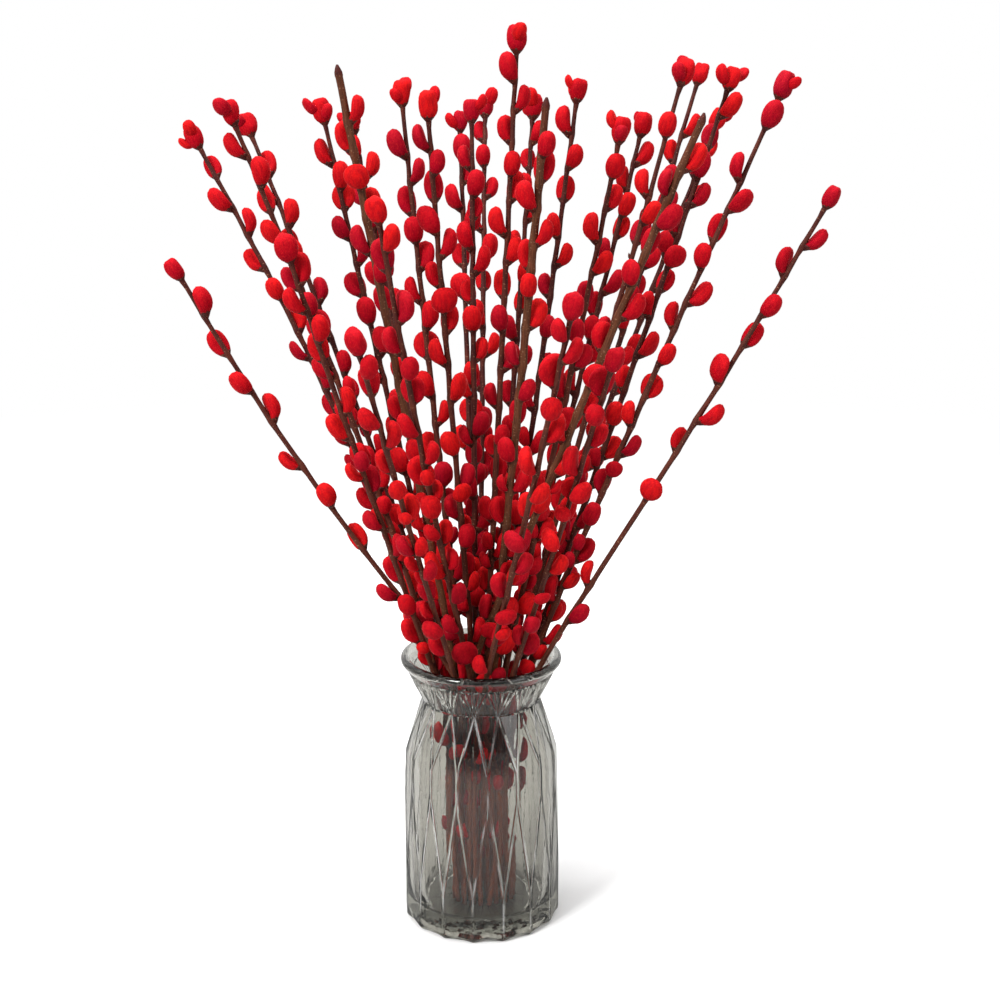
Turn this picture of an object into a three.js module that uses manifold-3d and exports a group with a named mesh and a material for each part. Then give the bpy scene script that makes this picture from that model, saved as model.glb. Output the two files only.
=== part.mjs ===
// Cut willow stems standing loose in a faceted glass vase.
// Millimetres, +Z up. The origin is the middle of the vase's underside.
// -Y is the front and +X the right.
import * as THREE from 'three';
import { ConvexGeometry } from 'three/addons/geometries/ConvexGeometry.js';
import { mergeVertices } from 'three/addons/utils/BufferGeometryUtils.js';
import Module from 'manifold-3d';

const wasm = await Module();
wasm.setup();

// ---- Vase: heights from the table up, and radii from the axis out ----
const SIDES = 16;
const HALF_STEP = Math.PI / SIDES;
const FIRST_RIDGE = THREE.MathUtils.degToRad(-90 + 16.5);
const BODY_R = 56.6;
const FOOT_CHAMFER = 1.6;
const SPLIT_Z = 35;
const MEET_Z = 108;
const SHOULDER_Z = 129;
const SHOULDER_R = 54.6;
const NECK_Z = 169;
const NECK_R = 42.2;
const COLLAR_TOP_Z = 191;
const COLLAR_TOP_R = 52.4;
const VASE_HEIGHT = 202;
const RIM_R = 58;
const LIP_ROUND = 3.3;
// The bead of the lip is drawn between these angles above the level, in degrees, with this step.
const LIP_FROM = -30;
const LIP_TO = 90;
const LIP_STEP = 20;
const FLOOR_Z = 14;
const ROUND_SIDES = 32;
const SAME_POINT = 1e-4;
// Inside of the vase as [height, radius], from the corner of its floor to its mouth.
const INSIDE = [
  [14, 44],
  [20, 49],
  [120, 48.5],
  [140, 44],
  [169, 37.5],
  [186, 43.5],
  [198, 50.5],
  [206, 53],
];

// ---- Stems ----
// Each row is one stem: the tip's x, y and height, where it passes the neck (x, y), how early it leans
// out (bow), the usual distance between its catkins, and 1 where the tip is a bare pointed twig.
const STEMS = [
  [-205, -45, 494, 6, -25, 0.22, 33, 0],
  [-203, 40, 574, -24, 6, -0.3, 26, 0],
  [-166, -25, 592, -24, -2.5, -0.15, 23, 0],
  [-172, 95, 580, -18.5, 16.5, -0.1, 25, 0],
  [-112, 55, 590, -15, 8, 0.1, 22, 0],
  [-84, -95, 606, -12.5, -11.5, 0.05, 24, 1],
  [-98, 135, 580, -11, 22.5, 0, 24, 0],
  [-60, -150, 540, -4.5, -15.5, 0.15, 22, 0],
  [-54, 20, 603, -11, 1, 0.1, 22, 0],
  [-33, -60, 597, -3, -7, 0.1, 22, 0],
  [-16, 120, 582, -3, 18, 0.05, 23, 0],
  [-6, 45, 591, -4, 11, 0, 23, 0],
  [2, 190, 590, -1.5, 25.5, 0.05, 28, 0],
  [25, -30, 638, 2.5, -1.5, 0, 25, 0],
  [39, 125, 591, 7, 24, 0.05, 24, 0],
  [41, -110, 587, 5.5, -15.5, 0.1, 24, 1],
  [68, 40, 605, 8.5, 4.5, 0.1, 27, 0],
  [92, -60, 582, 11.5, -8.5, 0.1, 25, 0],
  [118, 85, 580, 11, 15, 0.1, 22, 0],
  [137, -5, 617, 16.5, 1, 0.05, 23, 0],
  [160, 100, 616, 22, 13.5, 0.05, 24, 0],
  [174, 30, 613, 25, 3, 0.05, 25, 0],
  [180, 150, 582, 15.5, 20.5, 0, 28, 0],
  [134, -110, 578, -18.5, -17, 0, 25, 1],
  [202, -25, 609, 24, -6, -0.05, 25, 0],
  [234, -45, 540, 20.5, -15, 0.1, 33, 0],
  [82, -190, 458, 14, -21, 0.1, 24, 0],
  [56, -215, 492, -3, -25.5, 0.15, 23, 0],
  [-70, -205, 470, -11.5, -22.5, 0.1, 24, 0],
  [-118, -130, 515, -23.5, -10, 0.1, 24, 0],
];
const LEVEL = 15;
const TWIG_FOOT_R = 2.5;
const TWIG_TIP_R = 0.9;
const BARE_TIP_R = 1.8;
const TWIG_SIDES = 4;
const TWIG_STEP = 55;
const BEND_STEP = 20;
const BEND_TO_Z = 290;
const TIP_INSET = 13;

// ---- How the stems settle ----
const FOOT_SHARE = 0.62;
const RELAX_ROUNDS = 90;
const EVEN_OUT_EVERY = 3;
// Shares of the place below, the place itself and the place above when a stem is evened out.
const EVEN_OUT = [0.25, 0.5, 0.25];
const PUSH = 0.25;
const TOO_CLOSE = 0.01;
const WALL_GAP = 4.5;
const WAY_REACH = 3;
// The least distance between the middles of two twigs, as [below this height, distance].
const SPACING = [
  [150, 6],
  [185, 6.6],
  [225, 9],
  [330, 11.5],
  [Infinity, 9],
];

// ---- Catkins ----
const CATKIN_SIDES = 4;
const CATKIN_LONG = [17, 3.8];
const CATKIN_FAT = [0.32, 0.035];
const CATKIN_LEAN = [0.1, 0.16];
const CATKIN_LOW = [0.28, 0.95];
const CATKIN_HIGH = [0.7, 0.9];
const TWIG_GAP = 0.4;
const ROOT_SHARE = 0.5;
const TIP_LEAN = 0.06;
const TIP_CATKIN_BELOW = 17;
const BARE_TIP = 26;
const LOWEST_CATKIN = 60;
const MOUTH_Z = 208;
const SHARE_INSIDE = 0.13;
const SHARE_OUTSIDE = 0.97;
const SEED = 7919;
const STREAM_FACTOR = 1664525;
const STREAM_STEP = 1013904223;
const STREAM_SIZE = 2 ** 32;
// Distance to the next catkin: by chance, and growing from the tip down to the rim of the vase.
const STEP_CHANCE = [0.78, 0.44];
const STEP_GROWTH = [0.72, 0.5];
const TRIES = 9;
const TRY_TURN = 0.7;
const GOLDEN_TURN = 2.4;
const GLASS_CLEAR = 1;
const TWIG_CLEAR = 0.7;
const CATKIN_CLEAR = 0.5;
const FAR_TWIG = 25;
const FAR_CATKIN = 50;
const OVER_TIP = 8;
// Three balls that stand for a catkin when looking for room: share of its length, share of its widest
// radius.
const SPOTS = [
  [0.28, 0.88],
  [0.5, 1],
  [0.74, 0.85],
];

// Radius of the hollow of the vase at height z.
function insideRadius(z) {
  for (let i = 1; i < INSIDE.length; i += 1) {
    const [z0, r0] = INSIDE[i - 1];
    const [z1, r1] = INSIDE[i];
    if (z <= z1) return r0 + (r1 - r0) * ((z - z0) / (z1 - z0));
  }
  return Infinity;
}

// Where one stem would stand at height z if it met no other: upright in the vase, then leaning out.
function freeCourse([tipX, tipY, tipZ, neckX, neckY, bow], z) {
  const rise = tipZ - NECK_Z;
  return [[tipX, neckX], [tipY, neckY]].map(([tip, neck]) => {
    if (z >= NECK_Z) {
      const w = (z - NECK_Z) / rise;
      return neck + (tip - neck) * w * (1 + bow * (1 - w));
    }
    const slope = ((tip - neck) * (1 + bow)) / rise;
    const foot = neck * FOOT_SHARE;
    const drop = NECK_Z - FLOOR_Z;
    const w = (z - FLOOR_Z) / drop;
    const rising = (neck - foot) * (3 * w * w - 2 * w * w * w);
    return foot + rising + slope * drop * (w * w * w - w * w);
  });
}

// Moves two stems apart at one height if they stand too close there.
function pushApart(a, b, need) {
  const dx = b[0] - a[0];
  const dy = b[1] - a[1];
  const apart = Math.sqrt(dx * dx + dy * dy);
  if (apart >= need) return;
  const push = (PUSH * (need - apart)) / Math.max(apart, TOO_CLOSE);
  a[0] -= dx * push;
  a[1] -= dy * push;
  b[0] += dx * push;
  b[1] += dy * push;
}

// Keeps a stem off the wall of the vase.
function keepInside(p, limit) {
  const out = Math.sqrt(p[0] * p[0] + p[1] * p[1]);
  if (out <= limit) return;
  p[0] *= limit / out;
  p[1] *= limit / out;
}

// Evens out one stem's course, as its stiffness does.
function straighten(course) {
  const old = course.map((p) => [...p]);
  for (let k = 1; k < course.length - 1; k += 1) {
    for (const c of [0, 1]) {
      course[k][c] = EVEN_OUT.reduce((sum, share, i) => sum + share * old[k - 1 + i][c], 0);
    }
  }
}

// One round of pushing at every height.
function pushAllApart(courses) {
  const tallest = Math.max(...courses.map((course) => course.length));
  for (let k = 0; k < tallest; k += 1) {
    const z = FLOOR_Z + LEVEL * k;
    const need = SPACING.find(([below]) => z < below)[1];
    const here = courses.filter((course) => k < course.length).map((course) => course[k]);
    for (let i = 0; i < here.length; i += 1) {
      for (let j = i + 1; j < here.length; j += 1) pushApart(here[i], here[j], need);
    }
    for (const p of here) keepInside(p, insideRadius(z) - WALL_GAP);
  }
}

// The courses of all stems, as places at evenly spaced heights, after they have pushed each other aside.
function standStems() {
  const courses = STEMS.map((stem) => {
    const count = Math.floor((stem[2] - FLOOR_Z) / LEVEL) + 2;
    return Array.from({ length: count }, (_, k) => freeCourse(stem, FLOOR_Z + LEVEL * k));
  });
  for (let round = 1; round <= RELAX_ROUNDS; round += 1) {
    pushAllApart(courses);
    if (round % EVEN_OUT_EVERY === 0) courses.forEach(straighten);
  }
  return courses;
}

// The middle of a stem at height z: a smooth curve through its places.
function placeAt(course, z) {
  const u = (z - FLOOR_Z) / LEVEL;
  const k = Math.max(0, Math.min(Math.floor(u), course.length - 2));
  const w = u - k;
  const p1 = course[k];
  const p2 = course[k + 1];
  const p0 = k > 0 ? course[k - 1] : p1;
  const p3 = k + 2 < course.length ? course[k + 2] : p2;
  return [0, 1].map((c) => {
    const a = 2 * p1[c];
    const b = p2[c] - p0[c];
    const d = 2 * p0[c] - 5 * p1[c] + 4 * p2[c] - p3[c];
    const e = 3 * p1[c] - p0[c] - 3 * p2[c] + p3[c];
    return 0.5 * (a + w * (b + w * (d + w * e)));
  });
}

// The way a stem points at height z.
function wayAt(course, z) {
  const low = placeAt(course, z - WAY_REACH);
  const high = placeAt(course, z + WAY_REACH);
  const x = (high[0] - low[0]) / (2 * WAY_REACH);
  const y = (high[1] - low[1]) / (2 * WAY_REACH);
  const n = Math.sqrt(x * x + y * y + 1);
  return [x / n, y / n, 1 / n];
}

// A stem that ends in a bare twig was cut lower down its branch, so it stays thicker up to its tip.
function twigRadius([, , tip, , , , , bare], z) {
  const end = bare ? BARE_TIP_R : TWIG_TIP_R;
  return TWIG_FOOT_R + ((end - TWIG_FOOT_R) * (z - FLOOR_Z)) / (tip - FLOOR_Z);
}

// A repeatable stream of numbers from 0 to 1.
function numberStream(seed) {
  let state = seed >>> 0;
  return () => {
    state = (Math.imul(STREAM_FACTOR, state) + STREAM_STEP) >>> 0;
    return state / STREAM_SIZE;
  };
}

// A catkin on a stem at height z. It stands beside the twig, on the side that the turn gives, and leans
// out a little.
function catkinOn(course, z, turn, shape) {
  const [x, y] = placeAt(course, z);
  const way = new THREE.Vector3(...wayAt(course, z));
  const across = new THREE.Vector3(1, 0, 0).addScaledVector(way, -way.x).normalize();
  const third = way.clone().cross(across);
  const side = across.clone().multiplyScalar(Math.cos(turn)).addScaledVector(third, Math.sin(turn));
  const [cos, sin] = [Math.cos(shape.lean), Math.sin(shape.lean)];
  const axis = way.clone().multiplyScalar(cos).addScaledVector(side, sin);
  const out = side.clone().multiplyScalar(cos).addScaledVector(way, -sin);
  return { base: new THREE.Vector3(x, y, z), axis, out, ...shape };
}

function spotOf({ base, axis, out, long, stand }, share) {
  return base.clone().addScaledVector(axis, long * share).addScaledVector(out, stand);
}

// True if one ball of a catkin is clear of the vase and of every other stem's twig.
function clearOfTwigs(courses, own, p, r) {
  if (p.z < MOUTH_Z && Math.hypot(p.x, p.y) + r > insideRadius(p.z) - GLASS_CLEAR) return false;
  return courses.every((course, j) => {
    const tip = STEMS[j][2];
    if (j === own || p.z > tip + OVER_TIP) return true;
    const z = Math.min(p.z, tip);
    const [x, y] = placeAt(course, z);
    const off = new THREE.Vector3(p.x - x, p.y - y, p.z - z);
    if (off.length() > FAR_TWIG) return true;
    const along = off.dot(new THREE.Vector3(...wayAt(course, z)));
    const gap = Math.sqrt(Math.max(off.lengthSq() - along * along, 0));
    return gap >= r + twigRadius(STEMS[j], z) + TWIG_CLEAR;
  });
}

// True if one ball of a catkin is clear of every catkin that has grown already.
function clearOfCatkins(grown, p, r) {
  return grown.every((other) => {
    if (other.base.distanceTo(p) > FAR_CATKIN) return true;
    return SPOTS.every(([share, size]) => {
      return spotOf(other, share).distanceTo(p) >= r + other.fat * size + CATKIN_CLEAR;
    });
  });
}

// The size, the lean and the distance from the twig of the next catkin. The one at a stem's tip stands on
// its end.
function drawShape(draw, stem, z, onEnd) {
  const long = CATKIN_LONG[0] + CATKIN_LONG[1] * draw();
  const fat = long * (CATKIN_FAT[0] + CATKIN_FAT[1] * draw());
  if (onEnd) return { long, fat, lean: TIP_LEAN, wood: 0, stand: 0 };
  const lean = CATKIN_LEAN[0] + CATKIN_LEAN[1] * draw();
  const wood = twigRadius(stem, z);
  const flat = fat * CATKIN_LOW[1] * Math.cos(Math.PI / CATKIN_SIDES);
  return { long, fat, lean, wood, stand: flat + wood + TWIG_GAP };
}

// The catkin at height z, turned until it has room, as a list of one, or of none where there is no
// room.
function withRoom(courses, own, z, turn, shape, grown) {
  for (let k = 0; k < TRIES; k += 1) {
    const catkin = catkinOn(courses[own], z, turn + k * TRY_TURN, shape);
    const room = SPOTS.every(([share, size]) => {
      const p = spotOf(catkin, share);
      const r = catkin.fat * size;
      return clearOfTwigs(courses, own, p, r) && clearOfCatkins(grown, p, r);
    });
    if (room) return [catkin];
  }
  return [];
}

// The catkins of one stem, from its tip down.
function growOnStem(courses, own, grown) {
  const [, , tip, , , , gap, bare] = STEMS[own];
  const draw = numberStream(SEED * (own + 1));
  draw();
  const mine = [];
  let turn = draw() * 2 * Math.PI;
  let z = tip - (bare ? BARE_TIP : TIP_CATKIN_BELOW);
  let onEnd = !bare;
  while (z > LOWEST_CATKIN) {
    const shape = drawShape(draw, STEMS[own], z, onEnd);
    if (draw() < (z < MOUTH_Z ? SHARE_INSIDE : SHARE_OUTSIDE)) {
      mine.push(...withRoom(courses, own, z, turn, shape, [...grown, ...mine]));
    }
    const growth = STEP_GROWTH[0] + (STEP_GROWTH[1] * (tip - z)) / (tip - VASE_HEIGHT);
    const step = gap * (STEP_CHANCE[0] + STEP_CHANCE[1] * draw()) * growth;
    turn += GOLDEN_TURN;
    z -= step * wayAt(courses[own], z)[2];
    onEnd = false;
  }
  return mine;
}

// ---- Solids ----
function toSolid(geometry) {
  const bare = geometry.index ? geometry.toNonIndexed() : geometry.clone();
  bare.deleteAttribute('normal');
  bare.deleteAttribute('uv');
  const merged = mergeVertices(bare, SAME_POINT);
  const vertProperties = new Float32Array(merged.attributes.position.array);
  const triVerts = new Uint32Array(merged.index.array);
  return new wasm.Manifold(new wasm.Mesh({ numProp: 3, vertProperties, triVerts }));
}

function toGeometry(solid) {
  const mesh = solid.getMesh();
  const geometry = new THREE.BufferGeometry();
  const corners = new Float32Array(mesh.vertProperties);
  geometry.setAttribute('position', new THREE.BufferAttribute(corners, 3));
  geometry.setIndex(new THREE.BufferAttribute(new Uint32Array(mesh.triVerts), 1));
  geometry.computeVertexNormals();
  return geometry;
}

// A turned shape about the Z axis, from [radius, height] points that start and end on the axis.
function turned(points, sides) {
  const geometry = new THREE.LatheGeometry(points.map(([r, z]) => new THREE.Vector2(r, z)), sides);
  geometry.rotateX(Math.PI / 2);
  return geometry;
}

// Corners of one ring of the vase, on the ridges (shift 0) or half way between them (shift 1).
function ring(radius, z, shift) {
  return Array.from({ length: SIDES }, (_, k) => {
    const angle = FIRST_RIDGE + (2 * k + shift) * HALF_STEP;
    return new THREE.Vector3(radius * Math.cos(angle), radius * Math.sin(angle), z);
  });
}

// The faceted body: flat sides that rise to points between leaning ones that come down from the neck.
function vaseBody() {
  const flat = Math.cos(HALF_STEP);
  return new ConvexGeometry([
    ...ring(BODY_R - FOOT_CHAMFER, 0, 0),
    ...ring(BODY_R, FOOT_CHAMFER, 0),
    ...ring(BODY_R, SPLIT_Z, 0),
    ...ring(BODY_R * flat, MEET_Z, 1),
    ...ring(SHOULDER_R, SHOULDER_Z, 1),
    ...ring(NECK_R, NECK_Z, 0),
  ]);
}

// The collar: sixteen flat flutes on the neck that die out in the round lip.
function vaseCollar() {
  const top = Array.from({ length: ROUND_SIDES }, (_, k) => {
    const angle = FIRST_RIDGE + (k * 2 * Math.PI) / ROUND_SIDES;
    const [x, y] = [COLLAR_TOP_R * Math.cos(angle), COLLAR_TOP_R * Math.sin(angle)];
    return new THREE.Vector3(x, y, COLLAR_TOP_Z);
  });
  return new ConvexGeometry([...ring(NECK_R, NECK_Z, 0), ...top]);
}

// The rounded bead of the rim, as a full disc that the hollow is cut from later.
function vaseLip() {
  const middle = [RIM_R - LIP_ROUND, VASE_HEIGHT - LIP_ROUND];
  const points = [[0, COLLAR_TOP_Z], [COLLAR_TOP_R, COLLAR_TOP_Z]];
  for (let a = LIP_FROM; a <= LIP_TO; a += LIP_STEP) {
    const angle = THREE.MathUtils.degToRad(a);
    points.push([middle[0] + LIP_ROUND * Math.cos(angle), middle[1] + LIP_ROUND * Math.sin(angle)]);
  }
  points.push([0, VASE_HEIGHT]);
  return turned(points, ROUND_SIDES);
}

function vaseHollow() {
  const wall = INSIDE.map(([z, r]) => [r, z]);
  return turned([[0, FLOOR_Z], ...wall, [0, INSIDE[INSIDE.length - 1][0]]], ROUND_SIDES);
}

function makeVase() {
  const outside = toSolid(vaseBody()).add(toSolid(vaseCollar())).add(toSolid(vaseLip()));
  return toGeometry(outside.subtract(toSolid(vaseHollow())));
}

// Heights at which a twig gets a ring of corners. They are close together up to where the stems have
// fanned out, because a twig bends most in the vase and just above it.
function twigHeights(top) {
  const heights = [FLOOR_Z];
  while (heights[heights.length - 1] < top) {
    const z = heights[heights.length - 1];
    heights.push(z + (z < BEND_TO_Z ? BEND_STEP : TWIG_STEP));
  }
  heights[heights.length - 1] = top;
  return heights;
}

// A tapered rod that is turned straight and then bent along the stem's course. It ends inside the
// tip's catkin.
function twig(course, stem) {
  const [, , tip, , , , , bare] = stem;
  const top = bare ? tip : tip - TIP_INSET;
  const wall = twigHeights(top).map((z) => [twigRadius(stem, z), z]);
  const profile = [[0, FLOOR_Z], ...wall, [0, top]];
  const geometry = turned(profile, TWIG_SIDES);
  const position = geometry.attributes.position;
  for (let v = 0; v < position.count; v += 1) {
    const z = position.getZ(v);
    const [x, y] = placeAt(course, z);
    position.setXY(v, position.getX(v) + x, position.getY(v) + y);
  }
  return geometry;
}

// A soft oval bud beside the twig, with its flatter side to it. Only its lowest point reaches into the
// twig.
function catkinShape({ base, axis, out, long, fat, wood, stand }) {
  const [low, high] = [CATKIN_LOW, CATKIN_HIGH].map(([share, size]) => [fat * size, long * share]);
  const geometry = turned([[0, 0], low, high, [0, long]], CATKIN_SIDES);
  geometry.rotateZ(Math.PI / CATKIN_SIDES);
  const position = geometry.attributes.position;
  for (let v = 0; v < position.count; v += 1) {
    position.setX(v, position.getX(v) + (position.getZ(v) > 0 ? stand : wood * ROOT_SHARE));
  }
  const frame = new THREE.Matrix4().makeBasis(out, axis.clone().cross(out), axis);
  geometry.applyMatrix4(frame.setPosition(base));
  return geometry;
}

function makeStem(course, stem, catkins) {
  const bare = toSolid(twig(course, stem));
  return toGeometry(catkins.reduce((solid, catkin) => solid.add(toSolid(catkinShape(catkin))), bare));
}

// ---- The whole thing ----
function smokedGlass() {
  return new THREE.MeshStandardMaterial({ color: 0x8d8f8c, roughness: 0.08, metalness: 0 });
}

function redCatkin() {
  return new THREE.MeshStandardMaterial({ color: 0xb5121b, roughness: 0.9, metalness: 0 });
}

const willow = new THREE.Group();
const vase = new THREE.Mesh(makeVase(), smokedGlass());
vase.name = 'vase';
willow.add(vase);

const courses = standStems();
const grown = [];
STEMS.forEach((stem, i) => {
  const catkins = growOnStem(courses, i, grown);
  grown.push(...catkins);
  const mesh = new THREE.Mesh(makeStem(courses[i], stem, catkins), redCatkin());
  mesh.name = `stem_${String(i + 1).padStart(2, '0')}`;
  willow.add(mesh);
});

export default willow;
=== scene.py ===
# %% [markdown]
# # Willow stems in a smoked glass vase
# Thirty cut pussy willow stems, dyed red, stand loose in a faceted glass vase and fan out of its mouth. On
# the real thing each stem is one thin twig that carries soft oval catkins on alternate sides. The packed
# model already says where every stem stands, so the first step is to load it. Each piece of the bunch made
# below takes the place of one of its nodes.

import math

import bmesh
import bpy
import numpy as np
from mathutils import Matrix, Vector, noise


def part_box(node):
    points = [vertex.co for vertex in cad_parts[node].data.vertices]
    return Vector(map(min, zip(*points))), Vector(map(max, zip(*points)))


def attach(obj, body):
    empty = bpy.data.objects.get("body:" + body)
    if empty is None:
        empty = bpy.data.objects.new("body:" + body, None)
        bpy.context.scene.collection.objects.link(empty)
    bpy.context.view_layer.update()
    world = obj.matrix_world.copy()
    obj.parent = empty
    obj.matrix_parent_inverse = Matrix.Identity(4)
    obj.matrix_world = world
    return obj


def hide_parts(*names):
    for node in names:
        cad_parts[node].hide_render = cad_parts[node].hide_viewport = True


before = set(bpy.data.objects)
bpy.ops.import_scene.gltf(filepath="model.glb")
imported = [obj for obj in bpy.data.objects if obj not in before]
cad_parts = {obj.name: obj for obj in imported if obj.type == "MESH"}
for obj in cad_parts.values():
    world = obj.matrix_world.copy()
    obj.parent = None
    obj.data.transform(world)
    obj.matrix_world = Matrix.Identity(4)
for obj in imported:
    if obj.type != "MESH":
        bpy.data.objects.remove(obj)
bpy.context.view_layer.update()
print("frame:", len(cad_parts), "nodes")

# %% [markdown]
# ## How the stems stand
# A bunch could be arranged by hand, one curve at a time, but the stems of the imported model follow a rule:
# each one heads for its own tip, and where two come too close they push each other aside. The same rule is
# written again here, in metres, so the twigs and catkins made in this lesson follow the solid ones. Only
# low in the vase do the cut ends stand a little wider apart.

# %% The list of stems
# Tip x, y and height, place in the neck x and y, how early it leans out, distance between catkins, and 1 where
# the tip is bare.
STEMS = [
    (-0.205, -0.045, 0.494, 0.006, -0.025, 0.22, 0.033, 0),
    (-0.203, 0.04, 0.574, -0.024, 0.006, -0.3, 0.026, 0),
    (-0.166, -0.025, 0.592, -0.024, -0.0025, -0.15, 0.023, 0),
    (-0.172, 0.095, 0.58, -0.0185, 0.0165, -0.1, 0.025, 0),
    (-0.112, 0.055, 0.59, -0.015, 0.008, 0.1, 0.022, 0),
    (-0.084, -0.095, 0.606, -0.0125, -0.0115, 0.05, 0.024, 1),
    (-0.098, 0.135, 0.58, -0.011, 0.0225, 0, 0.024, 0),
    (-0.06, -0.15, 0.54, -0.0045, -0.0155, 0.15, 0.022, 0),
    (-0.054, 0.02, 0.603, -0.011, 0.001, 0.1, 0.022, 0),
    (-0.033, -0.06, 0.597, -0.003, -0.007, 0.1, 0.022, 0),
    (-0.016, 0.12, 0.582, -0.003, 0.018, 0.05, 0.023, 0),
    (-0.006, 0.045, 0.591, -0.004, 0.011, 0, 0.023, 0),
    (0.002, 0.19, 0.59, -0.0015, 0.0255, 0.05, 0.028, 0),
    (0.025, -0.03, 0.638, 0.0025, -0.0015, 0, 0.025, 0),
    (0.039, 0.125, 0.591, 0.007, 0.024, 0.05, 0.024, 0),
    (0.041, -0.11, 0.587, 0.0055, -0.0155, 0.1, 0.024, 1),
    (0.068, 0.04, 0.605, 0.0085, 0.0045, 0.1, 0.027, 0),
    (0.092, -0.06, 0.582, 0.0115, -0.0085, 0.1, 0.025, 0),
    (0.118, 0.085, 0.58, 0.011, 0.015, 0.1, 0.022, 0),
    (0.137, -0.005, 0.617, 0.0165, 0.001, 0.05, 0.023, 0),
    (0.16, 0.1, 0.616, 0.022, 0.0135, 0.05, 0.024, 0),
    (0.174, 0.03, 0.613, 0.025, 0.003, 0.05, 0.025, 0),
    (0.18, 0.15, 0.582, 0.0155, 0.0205, 0, 0.028, 0),
    (0.134, -0.11, 0.578, -0.0185, -0.017, 0, 0.025, 1),
    (0.202, -0.025, 0.609, 0.024, -0.006, -0.05, 0.025, 0),
    (0.234, -0.045, 0.54, 0.0205, -0.015, 0.1, 0.033, 0),
    (0.082, -0.19, 0.458, 0.014, -0.021, 0.1, 0.024, 0),
    (0.056, -0.215, 0.492, -0.003, -0.0255, 0.15, 0.023, 0),
    (-0.07, -0.205, 0.47, -0.0115, -0.0225, 0.1, 0.024, 0),
    (-0.118, -0.13, 0.515, -0.0235, -0.01, 0.1, 0.024, 0),
]
FLOOR_Z, NECK_Z, RIM_Z, MOUTH_Z = 0.014, 0.169, 0.202, 0.208
# Inside of the vase, as heights and radii.
INSIDE_Z = [0.014, 0.020, 0.120, 0.140, 0.169, 0.186, 0.198, 0.206]
INSIDE_R = [0.044, 0.049, 0.0485, 0.044, 0.0375, 0.0435, 0.0505, 0.053]
print(len(STEMS), "stems, tips from", min(s[2] for s in STEMS), "to", max(s[2] for s in STEMS), "m up")


# %% Where a stem would stand alone
def inside_radius(z):
    return float(np.interp(z, INSIDE_Z, INSIDE_R)) if z <= INSIDE_Z[-1] else math.inf


def free_course(stem, z):
    place = []
    for tip, neck in ((stem[0], stem[3]), (stem[1], stem[4])):
        rise, bow = stem[2] - NECK_Z, stem[5]
        if z >= NECK_Z:
            w = (z - NECK_Z) / rise
            place.append(neck + (tip - neck) * w * (1 + bow * (1 - w)))
        else:
            slope, foot, drop = (tip - neck) * (1 + bow) / rise, neck * 0.62, NECK_Z - FLOOR_Z
            w = (z - FLOOR_Z) / drop
            place.append(foot + (neck - foot) * (3 * w * w - 2 * w**3) + slope * drop * (w**3 - w * w))
    return place


print("stem 14 alone at the neck:", [round(v, 4) for v in free_course(STEMS[13], NECK_Z)])

# %% Push the stems apart
LEVEL = 0.015
SPACING = [(0.150, 0.006), (0.185, 0.0066), (0.225, 0.009), (0.330, 0.0115), (math.inf, 0.009)]


def push_apart(a, b, need):
    dx, dy = b[0] - a[0], b[1] - a[1]
    apart = math.sqrt(dx * dx + dy * dy)
    if apart < need:
        push = 0.25 * (need - apart) / max(apart, 1e-5)
        a[0] -= dx * push
        a[1] -= dy * push
        b[0] += dx * push
        b[1] += dy * push


def keep_inside(p, limit):
    out = math.sqrt(p[0] * p[0] + p[1] * p[1])
    if out > limit:
        p[0] *= limit / out
        p[1] *= limit / out


def straighten(course):
    old = [list(p) for p in course]
    for k in range(1, len(course) - 1):
        for c in (0, 1):
            course[k][c] = 0.25 * old[k - 1][c] + 0.5 * old[k][c] + 0.25 * old[k + 1][c]


def stand_stems():
    counts = [int((s[2] - FLOOR_Z) / LEVEL) + 2 for s in STEMS]
    courses = [[free_course(s, FLOOR_Z + LEVEL * k) for k in range(count)] for s, count in zip(STEMS, counts)]
    for step in range(1, 91):
        for k in range(max(map(len, courses))):
            z = FLOOR_Z + LEVEL * k
            need = next(apart for below, apart in SPACING if z < below)
            here = [course[k] for course in courses if k < len(course)]
            for i, a in enumerate(here):
                for b in here[i + 1:]:
                    push_apart(a, b, need)
            for p in here:
                keep_inside(p, inside_radius(z) - 0.0045)
        if step % 3 == 0:
            for course in courses:
                straighten(course)
    return courses


courses = stand_stems()
print("stem 1 at the neck after pushing:", [round(v, 4) for v in courses[0][10]])


# %% Read a course at any height
def place_at(course, z):
    u = (z - FLOOR_Z) / LEVEL
    k = max(0, min(math.floor(u), len(course) - 2))
    w = u - k
    p1, p2 = course[k], course[k + 1]
    p0 = course[k - 1] if k > 0 else p1
    p3 = course[k + 2] if k + 2 < len(course) else p2
    place = []
    for c in (0, 1):
        a, b = 2 * p1[c], p2[c] - p0[c]
        d = 2 * p0[c] - 5 * p1[c] + 4 * p2[c] - p3[c]
        e = 3 * p1[c] - p0[c] - 3 * p2[c] + p3[c]
        place.append(0.5 * (a + w * (b + w * (d + w * e))))
    return np.array([place[0], place[1], z])


def unit(v):
    return v / math.sqrt(float(v @ v))


def way_at(course, z):
    return unit((place_at(course, z + 0.003) - place_at(course, z - 0.003)) / 0.006)


def frame_at(course, z):
    """The way a stem points at a height, and two directions square to it."""
    way = way_at(course, z)
    across = unit(np.array([1.0, 0, 0]) - way * way[0])
    return way, across, np.cross(way, across)


def twig_radius(stem, z):
    """A twig thins towards its tip, but a bare one was cut lower down its branch and stays thicker."""
    end = 0.0018 if stem[7] else 0.0009
    return 0.0025 + (end - 0.0025) * (z - FLOOR_Z) / (stem[2] - FLOOR_Z)


print("stem 1 points", [round(float(v), 3) for v in way_at(courses[0], 0.4)], "at 0.4 m")

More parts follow.
